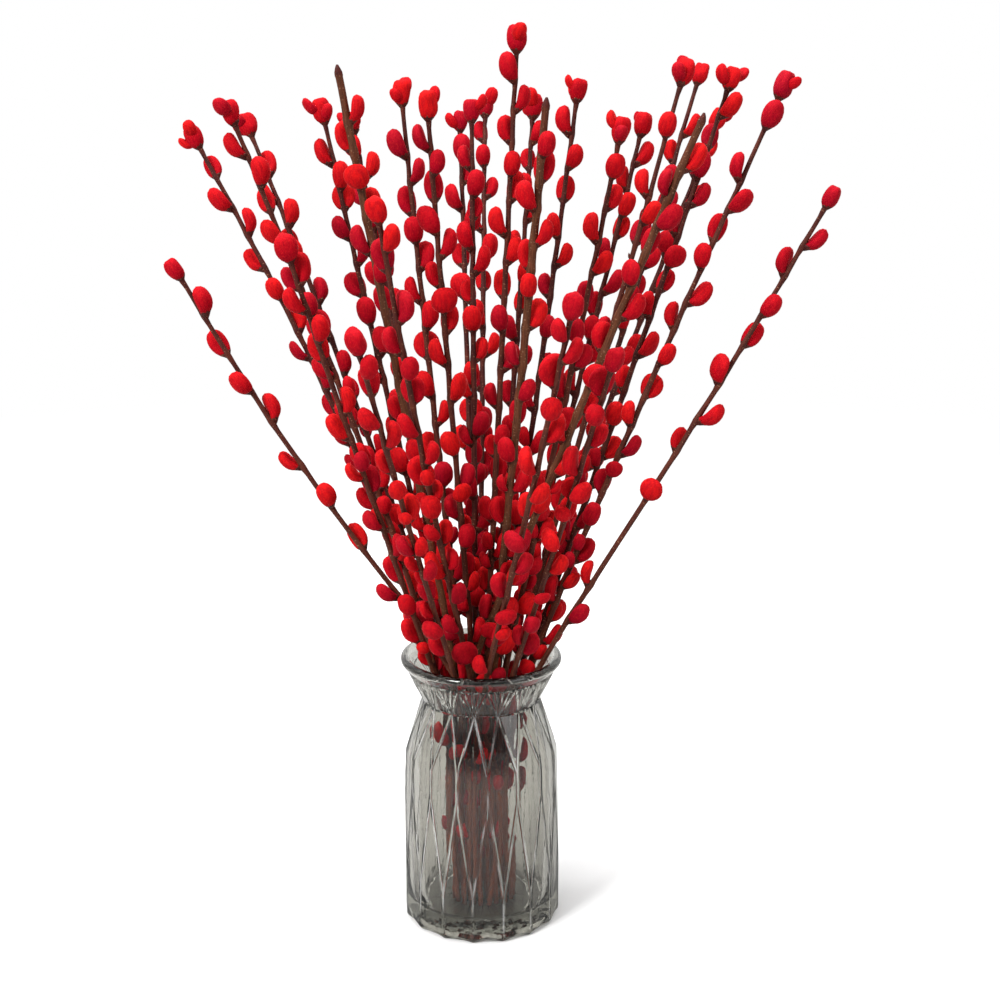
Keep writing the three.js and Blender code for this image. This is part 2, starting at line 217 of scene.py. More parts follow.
# %% [markdown]
# ## Where the catkins grow
# Catkins sit on alternate sides of a willow twig, a golden turn apart, and closer together towards its tip.
# They could be scattered on the twigs by a hair or instance system, but then some would run through their
# neighbours. The rule turns each catkin until three balls that stand for it are clear of the glass, the
# other stems and the other catkins, and leaves it out if none of nine turns has room.

# %% Tests for room
SPOTS = [(0.28, 0.88), (0.5, 1.0), (0.74, 0.85)]
GOLDEN_TURN = 2.4
GLASS_GAP = 0.001
GROWTH_SEED, TWIG_SEED, SMALL_SEED, EGG_SEED = 7919, 104729, 32452843, 15485863


def number_stream(seed):
    state = seed
    while True:
        state = (1664525 * state + 1013904223) & 0xFFFFFFFF
        yield state / 4294967296


def catkin_on(course, z, turn, shape):
    way, across, third = frame_at(course, z)
    side = across * math.cos(turn) + third * math.sin(turn)
    cos, sin = math.cos(shape["lean"]), math.sin(shape["lean"])
    axis, out = way * cos + side * sin, side * cos - way * sin
    made = dict(shape, base=place_at(course, z), turn=turn, axis=axis, out=out)
    spot = [made["base"] + axis * (made["long"] * share) + out * made["stand"] for share, _ in SPOTS]
    return dict(made, spots=list(zip(spot, [made["fat"] * size for _, size in SPOTS])))


def in_glass(p, r):
    return p[2] < MOUTH_Z and math.hypot(p[0], p[1]) + r > inside_radius(p[2]) - GLASS_GAP


def clear_of_twigs(own, p, r):
    if in_glass(p, r):
        return False
    for j, course in enumerate(courses):
        tip = STEMS[j][2]
        if j == own or p[2] > tip + 0.008:
            continue
        z = min(p[2], tip)
        off = p - place_at(course, z)
        if off @ off > 0.025**2:
            continue
        along = off @ way_at(course, z)
        if math.sqrt(max(off @ off - along * along, 0)) < r + twig_radius(STEMS[j], z) + 0.0007:
            return False
    return True


def clear_of_catkins(grown, p, r):
    for other in grown:
        gap = other["base"] - p
        if gap @ gap <= 0.05**2:
            for q, s in other["spots"]:
                if math.sqrt((q - p) @ (q - p)) < r + s + 0.0005:
                    return False
    return True


def has_room(own, catkin, grown):
    return all(clear_of_twigs(own, p, r) and clear_of_catkins(grown, p, r) for p, r in catkin["spots"])


print("balls per catkin:", len(SPOTS))


# %% Grow them
def draw_shape(draw, stem, z, on_end):
    long = 0.017 + 0.0038 * next(draw)
    fat = long * (0.32 + 0.035 * next(draw))
    if on_end:
        return dict(long=long, fat=fat, lean=0.06, wood=0.0, stand=0.0, z=z, on_end=True)
    lean = 0.1 + 0.16 * next(draw)
    wood = twig_radius(stem, z)
    stand = fat * 0.95 * math.cos(math.pi / 4) + wood + 0.0004
    return dict(long=long, fat=fat, lean=lean, wood=wood, stand=stand, z=z, on_end=False)


def grow_on_stem(own, grown):
    tip, gap, bare = STEMS[own][2], STEMS[own][6], STEMS[own][7]
    draw = number_stream(GROWTH_SEED * (own + 1))
    next(draw)
    turn = next(draw) * math.tau
    z = tip - (0.026 if bare else 0.017)
    mine, on_end = [], not bare
    while z > 0.060:
        shape = draw_shape(draw, STEMS[own], z, on_end)
        if next(draw) < (0.13 if z < MOUTH_Z else 0.97):
            for k in range(9):
                catkin = catkin_on(courses[own], z, turn + k * 0.7, shape)
                if has_room(own, catkin, grown + mine):
                    mine.append(catkin)
                    break
        step = gap * (0.78 + 0.44 * next(draw)) * (0.72 + 0.5 * (tip - z) / (tip - RIM_Z))
        turn += GOLDEN_TURN
        z -= step * way_at(courses[own], z)[2]
        on_end = False
    return mine


catkins = []
for own in range(len(STEMS)):
    catkins.append(grow_on_stem(own, [c for stem in catkins for c in stem]))
print(sum(map(len, catkins)), "catkins")

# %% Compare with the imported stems
worst = 0
for own, mine in enumerate(catkins):
    low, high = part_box(f"stem_{own + 1:02d}")
    ends = [c["base"] + c["axis"] * c["long"] + c["out"] * c["stand"] for c in mine]
    at_top = 0 if STEMS[own][7] else abs(max(e[2] for e in ends) - high.z)
    worst = max(worst, at_top, abs(low.z - FLOOR_Z))
print("largest difference in height from the packed stems:", round(worst * 1000, 3), "mm")

# %% [markdown]
# ## Tools for building
# A twig, a catkin and a bud scale are all round about an axis, so each starts as a profile that is spun
# round Z while it is still straight. The straight coordinates are kept on every vertex as the attribute
# "grain" before the shape is bent into place. A texture that reads this attribute follows the piece however
# it bends, with no seam.


# %% Spin a profile into a closed shape
def spun(profile, sides):
    bm = bmesh.new()
    verts = [bm.verts.new((r, 0, z)) for r, z in profile]
    edges = [bm.edges.new(pair) for pair in zip(verts, verts[1:])]
    bmesh.ops.spin(bm, geom=verts + edges, cent=(0, 0, 0), axis=(0, 0, 1), angle=math.tau, steps=sides,
                   use_merge=True)
    bmesh.ops.remove_doubles(bm, verts=bm.verts, dist=1e-6)
    bmesh.ops.recalc_face_normals(bm, faces=bm.faces)
    return bm


def new_piece_mesh():
    """An empty bmesh with the attributes that the bark and catkin finishes read."""
    bm = bmesh.new()
    layers = bm.verts.layers
    return bm, layers.float_vector.new("grain"), layers.float.new("shade"), layers.float.new("up")


def add_copy(bm, shape, grain, first=None):
    """Adds a copy of a spun shape and keeps its straight coordinates. Returns the new vertices."""
    start = len(bm.verts)
    bm.from_mesh(shape)
    fresh = list(bm.verts)[start:]
    for v in fresh:
        v[grain] = v.co + (first or Vector())
    return fresh


def finish_piece(bm, name, material, replaced):
    for face in bm.faces:
        face.smooth = True
    mesh = bpy.data.meshes.new(name)
    bm.to_mesh(mesh)
    bm.free()
    mesh.materials.append(material)
    piece = bpy.data.objects.new(name, mesh)
    bpy.context.scene.collection.objects.link(piece)
    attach(piece, "root")
    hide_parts(replaced)
    return piece


print("a spun test shape has", len(spun([(0, 0), (1, 0), (1, 1), (0, 1)], 8).faces), "faces")


# %% Nodes for finishes
def finish_of(name):
    """A new material, with a short way to add nodes to it and to join them up."""
    material = bpy.data.materials.new(name)
    material.use_nodes = True
    tree = material.node_tree
    shader = tree.nodes["Principled BSDF"]

    def add(kind, links=(), **settings):
        node = tree.nodes.new("ShaderNode" + kind)
        for key, value in settings.items():
            setattr(node, key, value)
        for socket, source in dict(links).items():
            if isinstance(source, bpy.types.NodeSocket):
                tree.links.new(source, node.inputs[socket])
            else:
                node.inputs[socket].default_value = source
        return node

    return material, tree, shader, add


def mixed(add, factor, a, b, blend="MIX"):
    """Colour a with b laid over it by the factor."""
    node = add("Mix", {0: factor, 6: a, 7: b}, data_type="RGBA", blend_type=blend)
    return node.outputs[2]


def ramp(add, factor, *stops):
    node = add("ValToRGB", {0: factor})
    for k, (place, colour) in enumerate(stops):
        stop = node.color_ramp.elements[k] if k < 2 else node.color_ramp.elements.new(place)
        stop.position, stop.color = place, colour
    return node.outputs[0]


def colour(r, g, b):
    """A colour from screen values of 0 to 255."""
    screen = [v / 255 for v in (r, g, b)]
    return tuple(v / 12.92 if v <= 10 / 255 else ((v + 0.055) / 1.055) ** 2.4 for v in screen) + (1.0,)


print("mid red is", [round(v, 3) for v in colour(200, 10, 25)])

# %% [markdown]
# ## Bark
# Willow bark on thin cuttings is smooth and satin, from dark red-brown on the thin twigs to olive-brown on
# the thick ones, with fine streaks along it and small pale dots, the lenticels. Noise that is stretched
# along "grain" makes the streaks, and a second, rounder noise cut off high makes the dots. The attribute
# "shade" runs from 0, dark and thin, to 1, thick and olive. Just below the neck of the vase the bark is
# painted darker, which is painted shade of the crowded stems there. Lower down in the vase it is painted a
# lighter reddish brown, which is painted light that stands in for the light the glass keeps from it.
# "grain" gives that too, because its height is that of the straight rod.

# %% Bark finish
bark, tree, shader, add = finish_of("willow_bark")
grain = add("Attribute", attribute_name="grain").outputs["Vector"]
shade = add("Attribute", attribute_name="shade").outputs["Fac"]
streak_at = add("Mapping", {"Vector": grain, "Scale": (1.0, 1.0, 0.06)}).outputs[0]
streaks = add("TexNoise", {"Vector": streak_at, "Scale": 1500.0, "Detail": 4.0, "Roughness": 0.6}).outputs[0]
patches = add("TexNoise", {"Vector": grain, "Scale": 90.0, "Detail": 3.0}).outputs[0]
dot_at = add("Mapping", {"Vector": grain, "Scale": (0.8, 0.8, 1.3)}).outputs[0]
dots = add("TexNoise", {"Vector": dot_at, "Scale": 950.0, "Detail": 0.0}).outputs[0]
lenticels = add("MapRange", {"Value": dots, "From Min": 0.72, "From Max": 0.78}).outputs[0]
thick = ramp(add, shade, (0.0, colour(74, 22, 20)), (0.5, colour(94, 44, 30)), (1.0, colour(104, 68, 38)))
dark = mixed(add, 0.75, thick, colour(112, 76, 70), "MULTIPLY")
streaky = mixed(add, ramp(add, streaks, (0.36, (0, 0, 0, 1)), (0.66, (1, 1, 1, 1))), dark, thick)
wear = add("MapRange", {"Value": patches, "From Min": 0.45, "From Max": 0.75, "To Max": 0.35}).outputs[0]
worn = mixed(add, wear, streaky, colour(120, 58, 36))
height = add("SeparateXYZ", {0: grain}).outputs["Z"]
# painted light: low in the vase the bark is painted a lighter reddish brown, standing in for the light the glass
# keeps from it
painted_low_light = add("MapRange", {"Value": height, "From Min": 0.124, "From Max": 0.110, "To Max": 0.8}).outputs[0]
# painted shade: just below the neck the bark is painted darker
painted_neck_shade = add("MapRange", {"Value": height, "From Min": 0.185, "From Max": 0.15, "To Max": 0.7}).outputs[0]
neck_shaded_bark = mixed(add, painted_neck_shade, worn, colour(74, 14, 8))
low = mixed(add, painted_low_light, neck_shaded_bark, mixed(add, patches, colour(118, 48, 30), colour(172, 88, 56)))
dotted = mixed(add, lenticels, low, colour(132, 94, 70))
rough = add("MapRange", {"Value": streaks, "To Min": 0.5, "To Max": 0.8}).outputs[0]
relief = add("Math", {0: lenticels, 1: streaks}, operation="ADD").outputs[0]
bump = add("Bump", {"Strength": 0.5, "Distance": 0.0003, "Height": relief}).outputs[0]
for socket, source in (("Base Color", dotted), ("Roughness", rough), ("Normal", bump)):
    tree.links.new(source, shader.inputs[socket])
shader.inputs["Specular IOR Level"].default_value = 0.2
print("bark:", len(tree.nodes), "nodes")

# %% [markdown]
# ## Velvet of the catkins
# A catkin is a coat of short silky hairs, so it is matt when seen from the front and has a pale bright edge
# where the hairs stand against the light. Real hairs on all the catkins would be far too many faces, so the
# finish does it: the sheen of the shader gives the pale edge, and fine noise stretched from base to tip gives
# the lie of the hairs. The same noise paints glints of lighter red on the hairs, a painted highlight, and
# darker red in the hollows between tufts, painted shade. Each catkin is painted darker and bluer at its base,
# as painted shade, and lighter at its tip, as a painted highlight. The attribute "up" runs from 0 at a
# catkin's base to 1 at its tip, and "shade" makes no two catkins the same red.

# %% Catkin finish
velvet, tree, shader, add = finish_of("dyed_velvet")
grain = add("Attribute", attribute_name="grain").outputs["Vector"]
shade = add("Attribute", attribute_name="shade").outputs["Fac"]
up = add("Attribute", attribute_name="up").outputs["Fac"]
hair_at = add("Mapping", {"Vector": grain, "Scale": (1.0, 1.0, 0.28)}).outputs[0]
hairs = add("TexNoise", {"Vector": hair_at, "Scale": 2400.0, "Detail": 3.0, "Roughness": 0.65}).outputs[0]
tufts = add("TexNoise", {"Vector": hair_at, "Scale": 520.0, "Detail": 2.0}).outputs[0]
# painted shade and highlight: the colour darkens towards each catkin's base and lightens towards its tip
along = ramp(add, up, (0.0, colour(84, 0, 14)), (0.3, colour(160, 0, 20)), (1.0, colour(206, 20, 22)))
reds = ramp(add, shade, (0.0, colour(136, 0, 36)), (0.5, colour(176, 0, 22)), (1.0, colour(216, 20, 18)))
dye_with_painted_light = mixed(add, 0.6, along, reds)
# painted shade: darker red in the hollows between tufts of hair
painted_hollow_shade = add("MapRange", {"Value": tufts, "From Min": 0.35, "From Max": 0.62, "To Min": 0.5, "To Max": 0.0})
shaded_hollows = mixed(add, painted_hollow_shade.outputs[0], dye_with_painted_light, colour(122, 0, 18))
# painted highlight: glints of lighter red on the hairs
painted_glint = add("MapRange", {"Value": hairs, "From Min": 0.5, "From Max": 0.75, "To Max": 0.5}).outputs[0]
with_painted_glint = mixed(add, painted_glint, shaded_hollows, colour(236, 54, 44))
rough = add("MapRange", {"Value": hairs, "To Min": 0.55, "To Max": 0.85}).outputs[0]
height = add("Math", {0: tufts, 1: hairs}, operation="MULTIPLY_ADD").outputs[0]
bump = add("Bump", {"Strength": 0.4, "Distance": 0.0006, "Height": height}).outputs[0]
for socket, source in (("Base Color", with_painted_glint), ("Roughness", rough), ("Normal", bump)):
    tree.links.new(source, shader.inputs[socket])
for socket, value in (("Sheen Weight", 0.55), ("Sheen Roughness", 0.2), ("Sheen Tint", colour(255, 110, 105)),
                      ("Specular IOR Level", 0.05)):
    shader.inputs[socket].default_value = value
print("velvet:", len(tree.nodes), "nodes")

# %% [markdown]
# ## Twigs
# A willow twig is a thin tapered rod that swells at every node, where a catkin sits, and bends a little the
# other way there, so it runs in a faint zigzag. It is spun as a straight rod with rings close together at
# the nodes, and then each ring is moved onto the stem's course and turned square to it. A curve with a
# bevel would be quicker, but its rings could not swell to one side.


# %% Rings of a twig
BARK, BARK_FULL = 0.0005, 0.2
SPREAD, SPREAD_Z, SPREAD_FULL = 0.36, 0.125, 0.1


def wood_radius(stem, z):
    """With its bark a twig gets up to half a millimetre thicker than its solid above the rim of the vase."""
    return twig_radius(stem, z) + BARK * min(1, max(0, (z - RIM_Z) / BARK_FULL))


def spread(place):
    """Low in the vase the cut ends rest wider apart than their solids do."""
    share = 1 + SPREAD * min(1, max(0, (SPREAD_Z - place[2]) / SPREAD_FULL))
    return place * np.array([share, share, 1])


def twig_profile(stem, nodes):
    top = stem[2] if stem[7] else stem[2] - 0.013
    heights = {round(z, 4) for z in np.arange(FLOOR_Z, top, 0.009)} | {round(top, 4)}
    for c in nodes:
        heights |= {round(c["z"] + d, 4) for d in (-0.006, -0.003, -0.001, 0.001, 0.0035)}
    kept = []
    for z in sorted(h for h in heights if FLOOR_Z <= h <= top):
        if not kept or z - kept[-1] > 0.0012:
            kept.append(z)
    end = wood_radius(stem, kept[-1])
    wall = [(wood_radius(stem, z), z) for z in kept]
    bud_rings = ((1.12, 0.001), (1.08, 0.003), (0.7, 0.0055), (0.3, 0.0075))
    tip = [(end * wide, kept[-1] + up) for wide, up in bud_rings] if stem[7] else []
    return [(0, kept[0])] + wall + tip + [(0, (tip or wall)[-1][1])]


def zigzag(nodes, z):
    """How far the twig has stepped aside at a height, away from the nearest catkin."""
    shift = np.zeros(3)
    for c in nodes:
        if c["z"] > 0.215 and not c["on_end"]:
            shift -= c["side"] * 0.0006 * math.exp(-abs(z - c["z"]) / 0.006)
    return shift


def bend_twig(verts, own, nodes, shade):
    stem, course = STEMS[own], courses[own]
    olive = 0.95 if stem[7] else 0.75 - 0.5 * (stem[1] > 0.02)
    for v in verts:
        x, y, z = v.co
        _, across, third = frame_at(course, z)
        place = spread(place_at(course, z)) + zigzag(nodes, z)
        swell = 1 + 0.05 * noise.noise(Vector((x, y, z)) * 400 + Vector((own, 0, 0)))
        angle = math.atan2(y, x)
        for c in nodes:
            near = math.exp(-((z - c["z"] + 0.0008) / 0.0034) ** 2)
            swell += near * (0.14 + 0.5 * max(0, math.cos(angle - c["turn"])))
        v.co = Vector(place + (across * x + third * y) * swell)
        v[shade] = max(0.08, olive - 0.6 * (z - FLOOR_Z) / (stem[2] - FLOOR_Z) * (0.4 if stem[7] else 1))
        if z > stem[2] + 0.001:
            v[shade] = 0.0


for mine in catkins:
    for c in mine:
        c["side"] = unit(c["out"] * math.cos(c["lean"]) + c["axis"] * math.sin(c["lean"]))
print("twig 1 has", len(twig_profile(STEMS[0], catkins[0])), "rings")

# %% [markdown]
# ## Small catkins
# The rule above leaves out every catkin that lacks room, but on real stems small ones still fill the gaps:
# they crowd round the tips of the taller stems, stand among the twigs at the neck of the vase and above it,
# and a few grow on the stems inside the vase. They are drawn here and not in the solid model, because each
# is small and soft. Their balls may overlap those of other catkins by a fifth and may touch a twig, and
# those at a tip may overlap the large catkins of their own stem.


# %% Small catkins
def small_catkin(own, z, turn, long, lean):
    fat, wood = long * 0.36, wood_radius(STEMS[own], z)
    shape = dict(long=long, fat=fat, lean=lean, wood=wood, stand=fat * 0.5 + wood, z=z, on_end=False)
    return catkin_on(courses[own], z, turn, shape)


def fits(c, others):
    return all(not in_glass(q, r) and clear_of_catkins(others, q, 0.8 * r) for q, r in c["spots"])


def small_catkins(own, others):
    draw, tip, gap, bare = number_stream(SMALL_SEED + own), STEMS[own][2], STEMS[own][6], STEMS[own][7]
    next(draw)
    places = [] if bare or tip < 0.56 else [(tip - 0.008 - 0.005 * k, 0.0130, 0.45) for k in range(3)]
    places += [(0.175 + 0.0135 * k, 0.0135, 0.1) for k in range(14 if gap < 0.03 else 2)]
    places += [(0.045 + 0.021 * k, 0.0125, 0.1) for k in range(6) if next(draw) < 0.3]
    mine, elsewhere = [], [c for c in others if c not in catkins[own]]
    for z, long, lean in places:
        turn, size, tilt = math.tau * next(draw), 0.9 + 0.3 * next(draw), 0.2 * next(draw)
        c = small_catkin(own, z, turn, long * size, lean + tilt)
        if fits(c, others + mine) or c["z"] > tip - 0.014 and fits(c, elsewhere + mine):
            mine.append(c)
    return mine


small = []
for own in range(len(STEMS)):
    near = [c for stem in catkins + small for c in stem]
    small.append(small_catkins(own, near))
print(sum(map(len, small)), "small catkins")

# %% [markdown]
# ## Bud scales and side buds
# Each catkin broke out of a dark brown scale, which stays at its base as a small hood, and here and there a
# bud never opened. Both are spun too: a shallow cup whose rim is drawn up a little on its outer side, and a
# small pointed cone that leans out of the twig.


# %% Hood and bud
def mesh_of(bm, name):
    mesh = bpy.data.meshes.new(name)
    bm.to_mesh(mesh)
    bm.free()
    return mesh


HOOD = [(0, -0.16), (0.27, -0.07), (0.44, 0.0), (0.6, 0.065), (0.71, 0.13), (0.55, 0.11), (0, 0.02)]
BUD = [(0, 0), (1, 0.1), (1.05, 0.4), (0.62, 0.75), (0, 1)]
hood = mesh_of(spun(HOOD, 8), "hood")
bud = mesh_of(spun(BUD, 6), "bud")


def add_hood(bm, grain, shade, c):
    for v in add_copy(bm, hood, grain):
        x, y, t = v.co
        outer = max(0, x / max(math.hypot(x, y), 1e-6)) ** 3
        reach = t * (1 + 0.55 * outer * (t > 0.12))
        v.co = Vector(catkin_point(c, x, y, reach))
        v[grain] = v.co + Vector((0, 0, 0.2))
        v[shade] = 0.1


def add_bud(bm, grain, shade, own, z, turn):
    way, across, third = frame_at(courses[own], z)
    side = across * math.cos(turn) + third * math.sin(turn)
    axis = unit(way * 0.9 + side * 0.42)
    other = np.cross(axis, side)
    root = spread(place_at(courses[own], z)) + side * wood_radius(STEMS[own], z) * 0.55
    for v in add_copy(bm, bud, grain):
        x, y, t = v.co
        v.co = Vector(root + side * x * 0.0011 + other * y * 0.0013 + axis * t * 0.0046)
        v[grain] = v.co
        v[shade] = 0.12


def catkin_point(c, x, y, t):
    """A place on or in a catkin: x away from the twig and y across it as shares of the radius, t of the length."""
    lift = min(1, max(0, t) / 0.3)
    ease = 0.45 + 0.55 * lift * lift * (3 - 2 * lift)
    shift = c["stand"] * 0.74 * ease + c["wood"] * 0.9 * (1 - ease)
    out = x * c["fat"] + shift
    if not c["on_end"] and t > 0.1:
        out = max(out, c["wood"] + 0.0002)
    across = np.cross(c["axis"], c["out"])
    return spread(c["base"]) + c["axis"] * (c["long"] * t) + c["out"] * out + across * (y * c["fat"])


print("hood", len(hood.polygons), "faces, bud", len(bud.polygons), "faces")


# %% Make the twigs
def make_twig(own):
    mine, draw = catkins[own], number_stream(TWIG_SEED + own)
    bm, grain, shade, _ = new_piece_mesh()
    rod = mesh_of(spun(twig_profile(STEMS[own], mine), 8), "rod")
    bend_twig(add_copy(bm, rod, grain), own, mine, shade)
    for c in mine + small[own]:
        add_hood(bm, grain, shade, c)
    for low, high in zip(mine[1:], mine):
        gap = high["z"] - low["z"]
        if gap > 0.034 and low["z"] > 0.06 and next(draw) < 0.6:
            add_bud(bm, grain, shade, own, low["z"] + gap * (0.62 + 0.2 * next(draw)), low["turn"] + 3.0)
    return finish_piece(bm, f"twig_{own + 1:02d}", bark, f"stem_{own + 1:02d}")


twigs = [make_twig(own) for own in range(len(STEMS))]
print(len(twigs), "twigs,", sum(len(t.data.polygons) for t in twigs), "faces")

# %% [markdown]
# ## Catkins
# A catkin is an egg: full low down, widest at its middle, with a rounded top. Most are a little lumpy, with
# a shallow crease or two from base to tip, and flat where they press against the twig. One in seven is a
# pair that has grown together, broader and with a deep crease down its middle. The one at the very tip of a
# stem has an open, tufted top. One spun egg of a few dozen faces is the start for all of them; each copy is
# creased, pressed against its twig and put in place, and one level of Subdivision Surface rounds it.

# %% The egg
EGG = [(0, 0), (0.62, 0.03), (1.02, 0.24), (1.14, 0.52), (0.93, 0.85), (0, 1.06)]
egg = mesh_of(spun(EGG, 8), "egg")
print("egg:", len(egg.polygons), "faces")


# %% Make the catkins
def add_catkin(bm, layers, c, number):
    grain, shade, up = layers
    draw = number_stream(EGG_SEED + number)
    next(draw)
    tone, seed, twist = next(draw), 50 * next(draw), math.tau * next(draw)
    paired = next(draw) < 0.15 and not c["on_end"]
    crease = 0.16 if paired else 0.02 + 0.08 * next(draw)
    for v in add_copy(bm, egg, grain):
        x, y, t = v.co
        angle = math.atan2(y, x)
        rough, fine = (0.42, 2.1) if c["on_end"] else (0.16, 1.3)
        lumps = 1 + rough * noise.noise(Vector((x, y, 2.2 * t)) * fine + Vector((seed, 0, 0)))
        lumps -= crease * math.cos(2 * angle + (0 if paired else twist)) * min(1, 2 * t)
        if paired:
            y *= 1.22
        if c["on_end"] and t > 0.4:
            ragged = math.cos(3 * angle + twist)
            lumps *= 0.96 + 0.2 * ragged
            t += 0.13 * ragged * (t - 0.2) if t < 1 else -0.16
        v[grain] = Vector((x * c["fat"], y * c["fat"], t * c["long"])) + Vector((seed, tone, 0))
        v[up], v[shade] = min(1, max(0, t)), tone
        v.co = Vector(catkin_point(c, x * lumps, y * lumps, t))


def make_catkins(own):
    bm, *layers = new_piece_mesh()
    for k, c in enumerate(catkins[own] + small[own]):
        add_catkin(bm, layers, c, 100 * own + k)
    piece = finish_piece(bm, f"catkins_{own + 1:02d}", velvet, f"stem_{own + 1:02d}")
    rounding = piece.modifiers.new("rounding", "SUBSURF")
    rounding.levels = rounding.render_levels = 1
    return piece


bunches = [make_catkins(own) for own in range(len(STEMS))]
faces = sum(len(b.data.polygons) for b in bunches)
print(len(bunches), "bunches of catkins,", faces, "faces before rounding")

# %% [markdown]
# ## The vase
# The vase is pressed glass: sixteen flat sides rise from the foot to points, leaning sides come down
# between them from the neck, and a fluted collar opens into a round lip. The hull of a few rings of points
# gives exactly these flat sides. The top ring is then extruded over the lip and down the smooth inside to
# the thick floor, so outside and inside are one closed wall. A narrow bevel on the ridges catches the light
# the way pressed glass does.

# %% Rings of the outside
SIDES = 16
FIRST_RIDGE = math.radians(-90 + 16.5)
# Radius and height of each ring of the body, and 1 where the ring is turned by half a side.
BODY = [(0.0550, 0, 0), (0.0566, 0.0016, 0), (0.0566, 0.035, 0),
        (0.0566 * math.cos(math.pi / SIDES), 0.108, 1), (0.0546, 0.129, 1), (0.0422, NECK_Z, 0)]
COLLAR_R, COLLAR_Z, COLLAR_POINTS = 0.0524, 0.191, 64
FLAT = 1e-5


def add_ring(bm, sides, radius, z, turn):
    """A ring of points; its first point stands at the angle turn from +X."""
    verts = bmesh.ops.create_circle(bm, segments=sides, radius=radius)["verts"]
    bmesh.ops.rotate(bm, verts=verts, cent=(0, 0, 0), matrix=Matrix.Rotation(turn - math.pi / 2, 3, "Z"))
    bmesh.ops.translate(bm, verts=verts, vec=(0, 0, z))
    return verts


def hull_of(bm, verts):
    bmesh.ops.convex_hull(bm, input=verts)
    loose = [e for e in bm.edges if not e.link_faces]
    bmesh.ops.delete(bm, geom=loose, context="EDGES")


def open_at(bm, z):
    """Takes away the flat faces that the hull left across the inside at height z."""
    caps = [f for f in bm.faces if all(abs(v.co.z - z) < FLAT for v in f.verts)]
    bmesh.ops.delete(bm, geom=caps, context="FACES_ONLY")


glass = bmesh.new()
for radius, z, half in BODY:
    add_ring(glass, SIDES, radius, z, FIRST_RIDGE + half * math.pi / SIDES)
hull_of(glass, glass.verts)
open_at(glass, NECK_Z)
neck = [v for v in glass.verts if abs(v.co.z - NECK_Z) < FLAT]
top = add_ring(glass, COLLAR_POINTS, COLLAR_R, COLLAR_Z, FIRST_RIDGE)
hull_of(glass, neck + top)
open_at(glass, NECK_Z)
open_at(glass, COLLAR_Z)
bmesh.ops.dissolve_limit(glass, angle_limit=math.radians(0.6), verts=glass.verts, edges=glass.edges)
bmesh.ops.recalc_face_normals(glass, faces=glass.faces)
print("outside of the vase:", len(glass.faces), "flat faces")

# %% Scallop the foot
FOOT_TOP, FOOT_CUTS, SCALLOP = 0.002, 3, 0.0016


def is_level(edge):
    return abs(edge.verts[0].co.z - edge.verts[1].co.z) < FLAT


foot = [e for e in glass.edges if is_level(e) and all(v.co.z < FOOT_TOP for v in e.verts)]
bmesh.ops.subdivide_edges(glass, edges=foot, cuts=FOOT_CUTS, use_grid_fill=True)
foot_points = [v for v in glass.verts if v.co.z < FOOT_TOP]
for v in foot_points:
    lift = math.sin((math.atan2(v.co.y, v.co.x) - FIRST_RIDGE) * SIDES / 2) ** 2
    v.co.z += SCALLOP * lift
print("the foot has", len(foot_points), "points, and stands on", sum(v.co.z < FLAT for v in foot_points))

# %% Hollow the sides and round the ridges
SHOULDER_Z, PANEL_EDGE, PANEL_DEPTH, RIDGE_BEVEL = 0.1, 0.0013, 0.0009, 0.0005


def side_of(face):
    """Which of the 32 directions a face of the body looks in: sixteen ridges and the sixteen between them."""
    return round((math.atan2(face.normal.y, face.normal.x) - FIRST_RIDGE) / (math.pi / SIDES)) % (2 * SIDES)


def level_below(edge, top):
    """True for a level edge from the shoulder up to a height: it is a bend within one side, not a ridge."""
    return is_level(edge) and SHOULDER_Z < min(v.co.z for v in edge.verts) < top


def is_ridge(edge):
    bends = len(edge.link_faces) == 2 and edge.calc_face_angle(0) > math.radians(4)
    return bends and not level_below(edge, 0.18)


ridges = [e for e in glass.edges if is_ridge(e)]
large = [f for f in glass.faces if f.calc_center_median().z > 0.0042 and f.calc_area() > 2e-5]
leaning = [f for f in large if 0.05 < f.calc_center_median().z < NECK_Z and side_of(f) % 2 == 0]
sides = [[f for f in leaning if side_of(f) == k] for k in range(0, 2 * SIDES, 2)]
sides += [[f] for f in large if f not in leaning]
for side in sides:
    bmesh.ops.inset_region(glass, faces=side, thickness=PANEL_EDGE, depth=-PANEL_DEPTH, use_even_offset=True,
                           use_boundary=True)
ribs = bmesh.ops.bevel(glass, geom=ridges, offset=RIDGE_BEVEL, offset_type="OFFSET", affect="EDGES", segments=2,
                       profile=0.5, material=-1, clamp_overlap=True)["faces"]
print(len(ridges), "ridges,", len(glass.faces), "faces after the bevel,", len(sides), "sides")

# %% Lip, inside and floor
LIP = [(0.0547 + 0.0033 * math.cos(math.radians(a)), 0.1987 + 0.0033 * math.sin(math.radians(a)))
       for a in range(-45, 130, 15)]
INSIDE = [(0.0512, 0.2000), (0.0500, 0.1972), (0.0476, 0.1930), (0.0446, 0.1880), (0.0414, 0.1820),
          (0.0390, 0.1760), (0.0378, 0.1690), (0.0385, 0.1620), (0.0402, 0.1545), (0.0424, 0.1470),
          (0.0448, 0.1390), (0.0470, 0.1300), (0.0483, 0.1200), (0.0487, 0.1050), (0.0488, 0.0700),
          (0.0488, 0.0300), (0.0486, 0.0230), (0.0476, 0.0182), (0.0456, 0.0152), (0.0430, 0.0141)]


def rim_loop(bm):
    return [e for e in bm.edges if len(e.link_faces) == 1]


